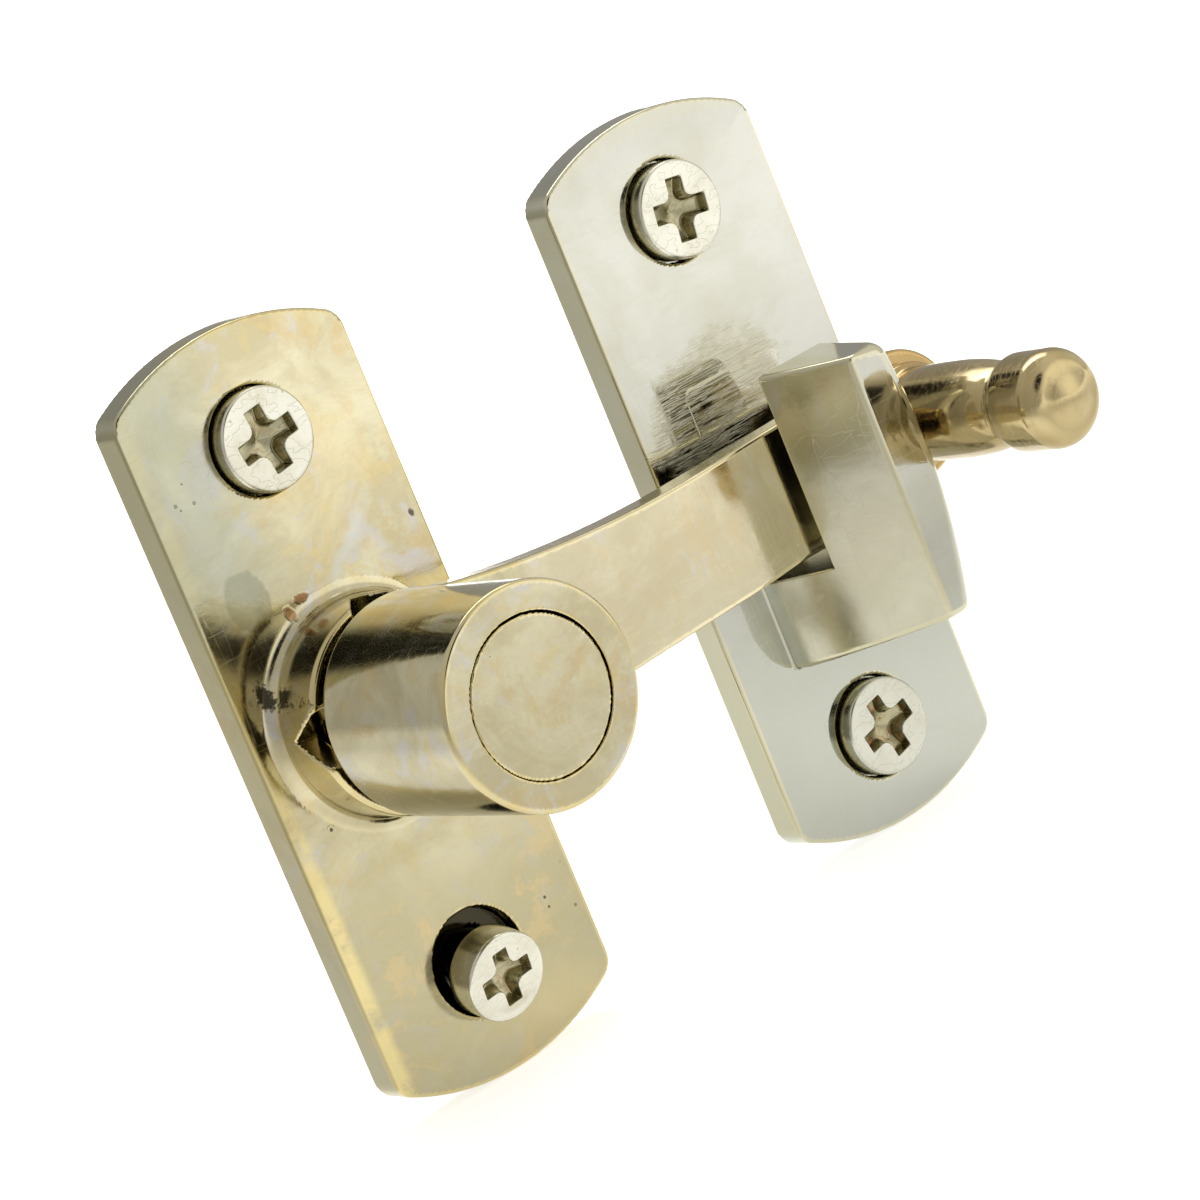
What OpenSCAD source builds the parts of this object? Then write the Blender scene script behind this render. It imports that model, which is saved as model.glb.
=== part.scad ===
// Casement window stay: a pivot unit with a swinging arm and a hooked keep.
// Everything is drawn face-on first (x across, y up, z out of the wall) and
// face() then stands it upright: +X across, +Z up, and the fronts face -Y.
// The origin is on the arm's pivot axis, where the pivot plate meets the wood.

/* [Plates] */
// Width of both plates
plate_w = 19; // [18:0.5:21]
// Length of both plates over their arched ends
plate_l = 53.6; // [52:0.2:58]
// Thickness of both plates
plate_t = 2.8; // [2.6:0.1:3]
// Rise of the arched ends above the corners
arch_rise = 2.7; // [1.6:0.1:3.6]
// Corner radius of the plates
corner_r = 0.8; // [0.6:0.1:2]
// Distance between the two screws of the pivot plate
pivot_pitch = 38; // [37.4:0.2:39.4]
// Distance between the two screws of the keep
keep_pitch = 39.4; // [38.4:0.2:39.6]
// Distance across the wall from the pivot axis to the keep's centre line
keep_x = 37; // [36.8:0.1:37.4]

/* [Screw holes] */
// Diameter of the counterbore for a screw head
recess_d = 7.3; // [7.2:0.1:8]
// Depth of the counterbore
recess_depth = 1.1; // [1:0.1:1.5]
// Diameter of the screw's clearance hole
screw_hole_d = 4.6; // [4.4:0.1:5]

/* [Screws] */
// Diameter of the screws' thread
thread_d = 3.5; // [3:0.1:3.8]
// Diameter of a screw head
head_d = 6.9; // [6.4:0.1:7]
// Height of a screw head
head_h = 2.4; // [2:0.1:2.6]
// Length of a screw below its head
screw_len = 16; // [12:1:20]
// Lean of the lower pivot plate screw, which has been driven askew
askew = 14; // [0:1:14]

/* [Cam ring] */
// Diameter of the ring that the hub turns on
ring_d = 14.8; // [14.2:0.1:15.2]
// Height of the ring above the wall
ring_top = 7.6; // [7:0.1:7.8]
// Width of a notch in the ring
notch_w = 4; // [3:0.2:4.6]
// Depth of a notch in the ring
notch_depth = 2.9; // [1.5:0.1:3.2]
// Radius of the fillet at the ring's foot
ring_fillet = 1; // [0.4:0.1:1.2]

/* [Hub] */
// Diameter of the hub
hub_d = 14.8; // [14.2:0.1:15.2]
// Height of the hub's back face above the wall
hub_back = 8.8; // [8.6:0.1:9]
// Height of the hub's front face above the wall
hub_front = 23.1; // [22:0.1:24]
// Diameter of the spring chamber in the hub
chamber_d = 10.7; // [10.5:0.1:11]

/* [Arm] */
// Width of the arm where it enters the keep
arm_w = 9.1; // [8.6:0.1:9.2]
// Thickness of the arm
arm_t = 2.5; // [2.2:0.1:2.6]
// Angle at which the arm leans back towards the wall
arm_lean = 4.5; // [4.3:0.1:4.8]
// Distance from the pivot axis to the knob's axis
knob_x = 45.6; // [45.5:0.1:46]

/* [Knob] */
// Diameter of the knob's foot
foot_d = 7.5; // [7:0.1:7.5]
// Diameter of the knob's grip at its fullest
grip_d = 6.8; // [6.2:0.1:7]
// Diameter of the knob's head
knob_head_d = 6.9; // [6.2:0.1:7.2]
// Height of the knob's tip above the wall
knob_top = 26.2; // [25:0.1:27]

/* [Keep] */
// Height of the hook's underside above the wall
hook_under = 9; // [9:0.1:9.2]
// Height of the hook's front above the wall
hook_top = 15.2; // [14.4:0.1:15.6]
// Upper end of the hook, above the pivot axis
hook_upper = 8; // [7.4:0.1:8]
// Lower end of the hook's block, below the pivot axis
block_lower = 13.1; // [12.4:0.1:13.4]
// Bottom of the slot, below the pivot axis
slot_floor = 6.4; // [6:0.1:6.6]
// Radius of the hook's right side, round the pivot axis: the knob swings past it
hook_r = 41.45; // [41:0.05:41.5]

/* [Hidden] */
$fn = 96;
eps = 0.01;
nickel = [0.80, 0.77, 0.64];
bright_nickel = [0.84, 0.84, 0.79];
brass = [0.72, 0.56, 0.32];
steel = [0.80, 0.80, 0.77];
pivot_screw_y = pivot_pitch / 2;
keep_screw_y = keep_pitch / 2;
pin_r = 2.25;
bore_r = pin_r + 0.05;
pin_head_r = chamber_d / 2 - 0.17;
pin_head_h = 2.1;
web_top = 12;
spigot_r = 5.2;
ring_bore_r = 5.6;
ring_floor = 4.2;
spigot_back = 4.8;
disc_r = 4.7;
disc_top = 7.85;
disc_back = 5.2;
spigot_d = 3;
rivet_d = 4.4;
wire_r = 0.55;
coil_r = 3.95;
coil_turns = 5;
coil_lo = web_top + 0.9 + wire_r;
coil_hi = hub_front - pin_head_h - 0.06 - wire_r;
arch_r = (plate_w * plate_w / 4 + arch_rise * arch_rise) / (2 * arch_rise);

// Stands the face-on drawing upright against the wall.
module face() { rotate([90, 0, 0]) children(); }

// Points of an arc from angle a to angle b.
function arc(cx, cy, r, a, b, n) =
    [for (i = [0:n]) [cx + r * cos(a + (b - a) * i / n),
                      cy + r * sin(a + (b - a) * i / n)]];

// Upper half of a plate's outline, right to left.
function plate_top(w, l, cr) =
    let (cy = l / 2 - arch_r, ri = arch_r - cr, wx = w / 2 - cr,
         hy = cy + sqrt(ri * ri - wx * wx), a = atan2(hy - cy, wx))
    concat(arc(wx, hy, cr, 0, a, 8),
           [for (p = arc(0, cy, arch_r, a, 180 - a, 40)) p],
           arc(-wx, hy, cr, 180 - a, 180, 8));

module plate_outline() {
    top = plate_top(plate_w, plate_l, corner_r);
    polygon(concat(top, [for (p = top) [-p[0], -p[1]]]));
}

// A plate with its two counterbored screw holes.
module plate_blank(screw_y) {
    difference() {
        linear_extrude(plate_t) plate_outline();
        for (s = [-1, 1]) translate([0, s * screw_y, 0]) {
            translate([0, 0, -1]) cylinder(h = plate_t + 2, d = screw_hole_d);
            translate([0, 0, plate_t - recess_depth])
                cylinder(h = recess_depth + 1, d = recess_d);
        }
    }
}

// Cam ring with a flared foot, turned as one piece.
module cam_ring() {
    r = ring_d / 2;
    rotate_extrude() union() {
        translate([ring_bore_r, plate_t - 1]) square([r - ring_bore_r, ring_top - plate_t + 1]);
        difference() {
            translate([r - eps, plate_t - eps]) square([ring_fillet + eps, ring_fillet + eps]);
            translate([r + ring_fillet, plate_t + ring_fillet]) circle(r = ring_fillet);
        }
    }
    cylinder(h = ring_floor, r = ring_bore_r + eps);
}

// One V notch, cut outward along a radius.
module notch() {
    translate([ring_bore_r - 1, 0, 0]) rotate([90, 0, 90])
        linear_extrude(ring_d / 2 - ring_bore_r + 2.5)
            polygon([[0, ring_top - notch_depth],
                     [notch_w / 2 * 1.35, ring_top + notch_depth * 0.35],
                     [-notch_w / 2 * 1.35, ring_top + notch_depth * 0.35]]);
}

module pivot_plate() {
    color(nickel) face() difference() {
        union() {
            plate_blank(pivot_screw_y);
            cam_ring();
        }
        for (a = [0:90:270]) rotate([0, 0, a - 5]) notch();
        // hole for the pin, countersunk behind for its riveted tail
        translate([0, 0, -1]) cylinder(h = ring_floor + 2, r = pin_r);
        translate([0, 0, -eps]) cylinder(h = 1 + eps, r1 = pin_r + 1 + eps, r2 = pin_r);
    }
}

module pivot_pin() {
    color(nickel) face() union() {
        cylinder(h = 1, r1 = pin_r + 1, r2 = pin_r);
        cylinder(h = hub_front - pin_head_h + eps, r = pin_r);
        translate([0, 0, hub_front - pin_head_h]) cylinder(h = pin_head_h, r = pin_head_r);
    }
}

// Height of the spring wire after a share t of its length: the end coils are closed.
function coil_z(t) =
    let (n = coil_turns, c = 1 / n, dz = 2 * wire_r * 1.06,
         span = coil_hi - coil_lo)
    t < c ? coil_lo + dz * t / c
    : t > 1 - c ? coil_hi - dz * (1 - t) / c
    : coil_lo + dz + (span - 2 * dz) * (t - c) / (1 - 2 * c);

module coil_spring() {
    steps = coil_turns * 20;
    sides = 8;
    pts = [for (i = [0:steps]) let (t = i / steps, a = 360 * coil_turns * t)
        for (j = [0:sides - 1]) let (b = 360 * j / sides,
            rr = coil_r + wire_r * cos(b))
            [rr * cos(a), rr * sin(a), coil_z(t) + wire_r * sin(b)]];
    faces = concat(
        [[for (j = [0:sides - 1]) j]],
        [for (i = [0:steps - 1]) for (j = [0:sides - 1])
            let (k = (j + 1) % sides, p = i * sides, q = p + sides)
            [p + j, q + j, q + k, p + k]],
        [[for (j = [sides - 1:-1:0]) steps * sides + j]]);
    color(steel) face() polyhedron(points = pts, faces = faces, convexity = 10);
}

module thrust_washer() {
    color(steel) face() translate([0, 0, web_top + 0.12]) difference() {
        cylinder(h = 0.6, r = chamber_d / 2 - 0.35);
        translate([0, 0, -1]) cylinder(h = 3, r = pin_r + 0.25);
    }
}

// Upper edge of the arm: it sweeps down from the hub and then runs straight.
function arm_upper(x) = x < 26 ? arm_w / 2 - 0.45 + 3.3 * pow(1 - x / 26, 2) : arm_w / 2 - 0.45;

module arm_outline() {
    polygon(concat(
        [[0, 0], [2, -arm_w / 2 - 0.8], [12, -arm_w / 2 - 0.78]],
        [[knob_x - 6, -arm_w / 2 - 0.55], [knob_x, -arm_w / 2]],
        [[knob_x, arm_w / 2 - 0.25], [knob_x - 6, arm_upper(40)]],
        [for (i = [13:-1:1]) [2 * i, arm_upper(2 * i)]]));
}

module arm() {
    color(nickel) face() difference() {
        union() {
            // hub, with the spigot that centres it in the cam ring
            translate([0, 0, hub_back]) cylinder(h = hub_front - hub_back, d = hub_d);
            translate([0, 0, spigot_back]) cylinder(h = hub_back - spigot_back + eps, r = spigot_r);
            // arm, leaning back towards the wall
            translate([0, 0, 11.3]) rotate([0, arm_lean, 0])
                translate([0, 0, -arm_t]) linear_extrude(arm_t) arm_outline();
            // level disc that carries the knob
            translate([knob_x, 0, disc_back]) cylinder(h = disc_top - disc_back, r = disc_r);
            // tooth that clicks over the notches
            rotate([0, 0, -5]) translate([spigot_r - 0.2, 0, 0]) rotate([90, 0, 90])
                linear_extrude(hub_d / 2 - spigot_r - 0.1)
                    polygon([[-1.6, hub_back + 0.5], [-0.35, ring_top + 0.35],
                             [0.35, ring_top + 0.35], [1.6, hub_back + 0.5]]);
        }
        translate([0, 0, -1]) cylinder(h = 20, r = bore_r);
        translate([0, 0, web_top]) cylinder(h = 20, d = chamber_d);
        translate([knob_x, 0, disc_back - 1]) cylinder(h = 6, d = spigot_d);
        translate([knob_x, 0, disc_back - eps])
            cylinder(h = 0.7 + eps, r1 = rivet_d / 2 + eps, r2 = spigot_d / 2);
    }
}

module pull_knob() {
    fr = foot_d / 2;
    gr = grip_d / 2;
    hr = knob_head_d / 2;
    color(brass) face() translate([knob_x, 0, 0]) union() {
        translate([0, 0, disc_back]) cylinder(h = 0.7, r1 = rivet_d / 2, r2 = spigot_d / 2);
        translate([0, 0, disc_back + 0.1]) cylinder(h = disc_top - disc_back, d = spigot_d);
        rotate_extrude() polygon(concat(
            [[0, disc_top], [fr - 0.25, disc_top], [fr, disc_top + 0.25],
             [fr, disc_top + 1.2], [fr - 0.3, disc_top + 1.5],
             [gr - 0.12, disc_top + 1.7]],
            [for (i = [0:8]) let (t = i / 8)
                [gr - 0.12 + 0.12 * sin(180 * t * 0.9) - 0.55 * pow(t, 3),
                 disc_top + 2 + 9.2 * t]],
            [[gr - 0.72, 19.75], [gr - 0.72, 20.0], [hr - 0.35, 20.35], [hr, 20.8]],
            [for (i = [0:10]) let (a = 90 * i / 10)
                [(hr - 1.6) + 1.6 * cos(a), knob_top - 0.7 - 1.6 + 1.6 * sin(a)]],
            [for (i = [1:6]) let (t = i / 6)
                [(hr - 1.6) * (1 - t), knob_top - 0.7 * (1 - t) * (1 - t) ]]));
    }
}

// Side profile of the hook: a swelling ramp that rises to a narrow flat front.
function hook_ramp() =
    [for (i = [0:16]) let (t = i / 16)
        [-4.65 * (1 - t) * (1 - t) - 3.01 * 2 * t * (1 - t) + 0.5 * t * t,
         4 * (1 - t) * (1 - t) + 10.03 * 2 * t * (1 - t) + hook_top * t * t]];

// Solid hook: the ramp's profile, drafted ends, and a right side struck round the pivot.
module hook() {
    intersection() {
        translate([keep_x, 20, 0]) rotate([90, 0, 0]) linear_extrude(40)
            polygon(concat([[-4.65, 1]], hook_ramp(), [[8, hook_top], [8, 1]]));
        translate([keep_x - 10, 0, 0]) rotate([90, 0, 90]) linear_extrude(20)
            polygon([[-block_lower, 0], [-block_lower, 4], [-block_lower + 1, hook_top],
                     [hook_upper - 0.6, hook_top], [hook_upper, 8.5], [hook_upper, 0]]);
        rotate_extrude($fn = 360)
            polygon(concat([[20, 0.5], [hook_r, 0.5]],
                arc(hook_r - 1.1, hook_top - 1.1, 1.1, 0, 90, 8), [[20, hook_top]]));
    }
}

module keep() {
    color(bright_nickel) face() difference() {
        union() {
            translate([keep_x, 0, 0]) plate_blank(keep_screw_y);
            hook();
        }
        // slot for the arm, open above
        translate([keep_x - 8, -slot_floor, plate_t]) cube([16, 20, hook_under - plate_t]);
    }
}

// Wood screw with a cross recess, head outward, seated at height z.
module screw(d) {
    difference() {
        union() {
            cylinder(h = head_h - 0.25, d = d);
            translate([0, 0, head_h - 0.25]) cylinder(h = 0.25, d1 = d, d2 = d - 0.5);
        }
        for (a = [0, 90]) rotate([0, 0, a])
            translate([-d * 0.31, -d * 0.095, head_h - 1.3]) cube([d * 0.62, d * 0.19, 3]);
    }
    translate([0, 0, 4 - screw_len]) cylinder(h = screw_len - 4 + eps, d = thread_d);
    translate([0, 0, -screw_len]) cylinder(h = 4 + eps, d1 = 0.4, d2 = thread_d);
}

module upper_pivot_plate_screw() {
    color(steel) face() translate([0, pivot_screw_y, plate_t - recess_depth + 0.02])
        rotate([0, 0, 8]) screw(head_d + 0.1);
}

module lower_pivot_plate_screw() {
    color(steel) face() translate([0, -pivot_screw_y, 0.9]) rotate([askew, 0, 0])
        translate([0, 0, 2.2]) rotate([0, 0, 4]) screw(head_d - 0.7);
}

module upper_keep_screw() {
    color(steel) face() translate([keep_x, keep_screw_y, plate_t - recess_depth + 0.02])
        rotate([0, 0, -8]) screw(head_d);
}

module lower_keep_screw() {
    color(steel) face() translate([keep_x, -keep_screw_y, plate_t - recess_depth + 0.02])
        rotate([0, 0, 13]) screw(head_d);
}

pivot_plate();
pivot_pin();
coil_spring();
thrust_washer();
arm();
pull_knob();
keep();
upper_pivot_plate_screw();
lower_pivot_plate_screw();
upper_keep_screw();
lower_keep_screw();
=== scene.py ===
"""Looks of the casement window stay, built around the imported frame.

Shapes are drawn face-on in millimetres: x across, y up, z out of the wall.
put() stands them upright in metres: (x, y, z) -> (x, -z, y) / 1000.
"""
import math

import bpy
import numpy as np
from mathutils import Matrix, Vector


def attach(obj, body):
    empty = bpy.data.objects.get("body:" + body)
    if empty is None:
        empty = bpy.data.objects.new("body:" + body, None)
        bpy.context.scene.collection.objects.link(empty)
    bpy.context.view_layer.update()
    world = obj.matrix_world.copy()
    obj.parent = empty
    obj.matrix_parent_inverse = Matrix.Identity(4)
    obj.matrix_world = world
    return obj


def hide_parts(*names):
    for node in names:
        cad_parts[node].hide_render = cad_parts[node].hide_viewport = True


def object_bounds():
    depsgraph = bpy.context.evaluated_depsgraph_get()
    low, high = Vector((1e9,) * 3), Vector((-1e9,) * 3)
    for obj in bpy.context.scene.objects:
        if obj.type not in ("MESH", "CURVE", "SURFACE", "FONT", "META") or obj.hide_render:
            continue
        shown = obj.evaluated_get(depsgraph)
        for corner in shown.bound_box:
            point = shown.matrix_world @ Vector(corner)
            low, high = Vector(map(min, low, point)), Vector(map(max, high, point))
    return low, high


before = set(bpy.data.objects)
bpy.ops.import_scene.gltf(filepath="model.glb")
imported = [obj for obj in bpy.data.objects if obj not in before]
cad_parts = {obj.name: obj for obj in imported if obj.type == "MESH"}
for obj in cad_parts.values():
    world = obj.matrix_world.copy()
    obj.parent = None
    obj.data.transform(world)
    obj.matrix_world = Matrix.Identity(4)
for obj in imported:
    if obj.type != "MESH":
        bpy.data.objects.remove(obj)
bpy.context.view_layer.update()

# ---------------------------------------------------------------- camera

cam_data = bpy.data.cameras.new("camera")
cam_data.lens = 146.1
cam_data.sensor_width = 36.0
cam_data.clip_start = 0.01
cam_data.clip_end = 20.0
cam = bpy.data.objects.new("camera", cam_data)
bpy.context.scene.collection.objects.link(cam)
RIGHT = (0.735724, -0.565004, -0.373471)
UP = (0.42612, -0.042458, 0.90367)
BACK = (-0.526434, -0.823995, 0.209522)
EYE = (-0.15419, -0.27479, 0.06747)
cam.matrix_world = Matrix(
    [
        [RIGHT[i], UP[i], BACK[i], EYE[i]] for i in range(3)
    ]
    + [[0, 0, 0, 1]]
)
bpy.context.scene.camera = cam
bpy.context.scene.view_settings.view_transform = "Standard"
bpy.context.scene.view_settings.look = "None"

# ---------------------------------------------------------------- surfaces


def rmax(a, b, r):
    """Cut one shape by another, with a rounded edge of radius r where they meet squarely."""
    return np.minimum(np.maximum(a, b), -r) + np.hypot(
        np.maximum(a + r, 0), np.maximum(b + r, 0)
    )


def rmin(a, b, r):
    """Join two shapes with a fillet of radius r."""
    return -rmax(-a, -b, r)


def smax(a, b, k):
    """Like rmax, for faces that meet at a shallow angle."""
    h = np.maximum(k - np.abs(a - b), 0) / k
    return np.maximum(a, b) + h * h * k / 4


def net(f, lo, hi, h):
    """Points and quads of the surface f = 0, f in millimetres and negative inside."""
    lo = np.array(lo, float) - 2 * h
    count = np.ceil((np.array(hi, float) + 2 * h - lo) / h / 8).astype(int)
    H = 8 * h
    c = [lo[i] + H * (np.arange(count[i]) + 0.5) for i in range(3)]
    F0 = f(c[0][:, None, None], c[1][None, :, None], c[2][None, None, :])
    F0 = np.broadcast_to(F0, tuple(count))
    near = np.argwhere(np.abs(F0) < H * 1.1 + 0.5)
    G = np.repeat(
        np.repeat(np.repeat(np.where(F0 < 0, -1.0, 1.0).astype(np.float32), 8, 0), 8, 1),
        8,
        2,
    )
    blocks = G.reshape(count[0], 8, count[1], 8, count[2], 8).transpose(0, 2, 4, 1, 3, 5)
    step = np.arange(8) + 0.5
    for s in range(0, len(near), 3000):
        b = near[s : s + 3000]
        X = (lo[0] + h * (8 * b[:, 0, None] + step))[:, :, None, None]
        Y = (lo[1] + h * (8 * b[:, 1, None] + step))[:, None, :, None]
        Z = (lo[2] + h * (8 * b[:, 2, None] + step))[:, None, None, :]
        blocks[b[:, 0], b[:, 1], b[:, 2]] = np.broadcast_to(
            f(X, Y, Z), (len(b), 8, 8, 8)
        )
    inside = G < 0
    n = inside.shape
    total = np.zeros([k - 1 for k in n], np.int8)
    for i in (0, 1):
        for j in (0, 1):
            for k in (0, 1):
                total += inside[i : n[0] - 1 + i, j : n[1] - 1 + j, k : n[2] - 1 + k]
    cells = np.argwhere((total > 0) & (total < 8))
    index = np.full(total.shape, -1, np.int64)
    index[cells[:, 0], cells[:, 1], cells[:, 2]] = np.arange(len(cells))
    corner = {
        (i, j, k): G[cells[:, 0] + i, cells[:, 1] + j, cells[:, 2] + k].astype(float)
        for i in (0, 1)
        for j in (0, 1)
        for k in (0, 1)
    }
    acc = np.zeros((len(cells), 3))
    cnt = np.zeros(len(cells))
    for axis in range(3):
        for u in (0, 1):
            for v in (0, 1):
                a = [0, 0, 0]
                others = [q for q in range(3) if q != axis]
                a[others[0]], a[others[1]] = u, v
                b = list(a)
                b[axis] = 1
                fa, fb = corner[tuple(a)], corner[tuple(b)]
                hit = (fa < 0) != (fb < 0)
                t = np.where(hit, fa / np.where(hit, fa - fb, 1), 0)
                p = np.tile(np.array(a, float), (len(cells), 1))
                p[:, axis] = t
                acc += p * hit[:, None]
                cnt += hit
    pts = lo + h * (cells + 0.5 + acc / cnt[:, None])
    quads = []
    for axis in range(3):
        a = [slice(None)] * 3
        b = [slice(None)] * 3
        a[axis], b[axis] = slice(0, n[axis] - 1), slice(1, n[axis])
        cross = inside[tuple(a)] != inside[tuple(b)]
        e = np.argwhere(cross)
        o1, o2 = (axis + 1) % 3, (axis + 2) % 3
        e = e[(e[:, o1] > 0) & (e[:, o2] > 0) & (e[:, o1] < n[o1] - 1) & (e[:, o2] < n[o2] - 1)]
        out = inside[e[:, 0], e[:, 1], e[:, 2]]
        ring = []
        for d1, d2 in ((-1, -1), (0, -1), (0, 0), (-1, 0)):
            q = e.copy()
            q[:, o1] += d1
            q[:, o2] += d2
            ring.append(index[q[:, 0], q[:, 1], q[:, 2]])
        ring = np.stack(ring, 1)
        ring[~out] = ring[~out][:, ::-1]
        quads.append(ring)
    return pts, np.concatenate(quads)


TETRA = np.array([[1, 1, 1], [1, -1, -1], [-1, 1, -1], [-1, -1, 1]], float)


def gradient(f, p, e):
    g = np.zeros_like(p)
    for d in TETRA:
        q = p + d * e
        g += f(q[:, 0], q[:, 1], q[:, 2])[:, None] * d
    return g / (4 * e)


def put(name, pts, faces, normals=None, attributes=None):
    """A mesh object from face-on millimetres."""
    world = np.stack([pts[:, 0], -pts[:, 2], pts[:, 1]], 1) * 0.001
    mesh = bpy.data.meshes.new(name)
    faces = np.asarray(faces)
    mesh.vertices.add(len(world))
    mesh.vertices.foreach_set("co", world.astype(np.float32).ravel())
    sides = faces.shape[1]
    mesh.loops.add(faces.size)
    mesh.loops.foreach_set("vertex_index", faces.astype(np.int32).ravel())
    mesh.polygons.add(len(faces))
    mesh.polygons.foreach_set(
        "loop_start", (np.arange(len(faces)) * sides).astype(np.int32)
    )
    mesh.update(calc_edges=True)
    mesh.polygons.foreach_set("use_smooth", np.ones(len(faces), bool))
    for key, value in (attributes or {}).items():
        a = mesh.attributes.new(key, "FLOAT", "POINT")
        a.data.foreach_set("value", np.asarray(value, np.float32))
    mesh.validate()
    if normals is not None and len(mesh.vertices) == len(pts):
        m = np.stack([normals[:, 0], -normals[:, 2], normals[:, 1]], 1)
        mesh.normals_split_custom_set_from_vertices(m.astype(float).tolist())
    ob = bpy.data.objects.new(name, mesh)
    bpy.context.scene.collection.objects.link(ob)
    return ob


def carve(name, f, lo, hi, h, turn=None):
    """A piece whose surface is f = 0: the net's points slide onto it, and its normals are exact.
    turn = (matrix, offset) places it after it is drawn."""
    pts, quads = net(f, lo, hi, h)
    for _ in range(4):
        v = f(pts[:, 0], pts[:, 1], pts[:, 2])
        g = gradient(f, pts, 0.002)
        step = v[:, None] * g / np.maximum((g * g).sum(1), 0.2)[:, None]
        length = np.linalg.norm(step, axis=1)
        step *= np.minimum(1, 0.6 * h / np.maximum(length, 1e-9))[:, None]
        pts = pts - step
    nrm = gradient(f, pts, 0.01)
    nrm /= np.maximum(np.linalg.norm(nrm, axis=1), 1e-9)[:, None]
    # how sharply the surface turns, positive on outer edges: used for wear
    e = 0.12
    lap = sum(
        f(*(pts + s * e * np.eye(3)[a]).T) for a in range(3) for s in (-1, 1)
    ) - 6 * f(*pts.T)
    edge = np.clip(lap / (e * e) * 0.5, -2, 2)
    if turn is not None:
        M, off = turn
        pts = pts @ M.T + off
        nrm = nrm @ M.T
    return put(name, pts, quads, nrm, {"edge": edge})


def lathe(name, profile, centre, sides=128):
    """A turned piece round an axis out of the wall. profile is (radius, z) from back to front."""
    prof = np.array(profile, float)
    a = np.arange(sides) * 2 * math.pi / sides
    ring = np.stack([np.cos(a), np.sin(a)], 1)
    pts = [[centre[0], centre[1], prof[0][1]]]
    for r, z in prof:
        for c, s in ring:
            pts.append([centre[0] + r * c, centre[1] + r * s, z])
    pts.append([centre[0], centre[1], prof[-1][1]])
    faces = []
    for j in range(sides):
        k = (j + 1) % sides
        faces.append([0, 1 + k, 1 + j, 1 + j])
        for i in range(len(prof) - 1):
            p, q = 1 + i * sides, 1 + (i + 1) * sides
            faces.append([p + j, p + k, q + k, q + j])
        last = 1 + (len(prof) - 1) * sides
        faces.append([last + j, last + k, len(pts) - 1, len(pts) - 1])
    mesh = bpy.data.meshes.new(name)
    world = [(x * 0.001, -z * 0.001, y * 0.001) for x, y, z in pts]
    clean = [list(dict.fromkeys(f)) for f in faces]
    mesh.from_pydata(world, [], clean)
    mesh.polygons.foreach_set("use_smooth", np.ones(len(clean), bool))
    mesh.update()
    ob = bpy.data.objects.new(name, mesh)
    bpy.context.scene.collection.objects.link(ob)
    return ob


# ---------------------------------------------------------------- shapes

W, L, T = 19.0, 53.6, 2.8
RISE = 2.7
ARCH = (W * W / 4 + RISE * RISE) / (2 * RISE)
PIVOT_SCREW_Y = 19.0
KEEP_SCREW_Y = 19.7


def outline(x, y):
    cy = L / 2 - ARCH
    return rmax(
        np.abs(x) - W / 2,
        np.hypot(x, np.maximum(np.abs(y) - cy, 0)) - ARCH,
        0.8,
    )


def plate(x, y, z, band, tilt, screw_y):
    """A plate with a shallow worn band round its front and two counterbored holes."""
    o = outline(x, y)
    s, c = math.sin(tilt), math.cos(tilt)
    d = smax(z - T, (o + band) * s + (z - T) * c, 0.3)
    d = rmax(d, o, 0.22)
    d = rmax(d, -z, 0.15)
    for side in (-1, 1):
        r = np.hypot(x, y - side * screw_y)
        d = rmax(d, -rmax(r - 3.65, T - 1.1 - z, 0.1), 0.14)
        d = rmax(d, 2.3 - r, 0.08)
    return d


def pivot_plate(x, y, z):
    d = plate(x, y, z, 1.3, math.radians(7), PIVOT_SCREW_Y)
    r = np.hypot(x, y)
    ring = rmax(r - 7.4, z - 7.6, 0.4)
    d = rmin(d, ring, 1.0)
    d = rmax(d, -np.maximum(r - 5.6, 4.2 - z), 0.2)
    # four V notches, five degrees off the axes
    c, s = math.cos(math.radians(5)), math.sin(math.radians(5))
    p, q = np.abs(x * c - y * s), np.abs(x * s + y * c)
    u = np.minimum(p, q)
    wedge = (u - (z - 4.7) * 0.6897) * 0.8232
    wedge = np.maximum(wedge, 5.0 - r)
    d = rmax(d, -wedge, 0.12)
    hole = np.minimum(r - 2.27, (r - 3.27 + z) * 0.707)
    return np.maximum(d, -hole)


def pivot_pin(x, y, z):
    """The head sits a hair off centre in its counterbore, as riveting left it."""
    r = np.hypot(x, y)
    shank = np.maximum(r - 2.25, np.maximum(-z, z - 21.5))
    tail = np.maximum((r - 3.25 + z) * 0.707, np.maximum(-z, z - 1.0))
    hx, hy = x + 0.06, y + 0.03
    rh = np.hypot(hx, hy)
    head = rmax(rh - 5.27, z - 23.08, 0.08)
    head = np.maximum(head, 21.0 - z)
    nick = np.hypot(np.hypot(x - 2.62, y + 4.95), z - 23.1) - 0.2
    head = rmax(head, -nick, 0.08)
    return np.minimum(np.minimum(shank, tail), head)


LEAN = math.radians(4.5)


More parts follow.
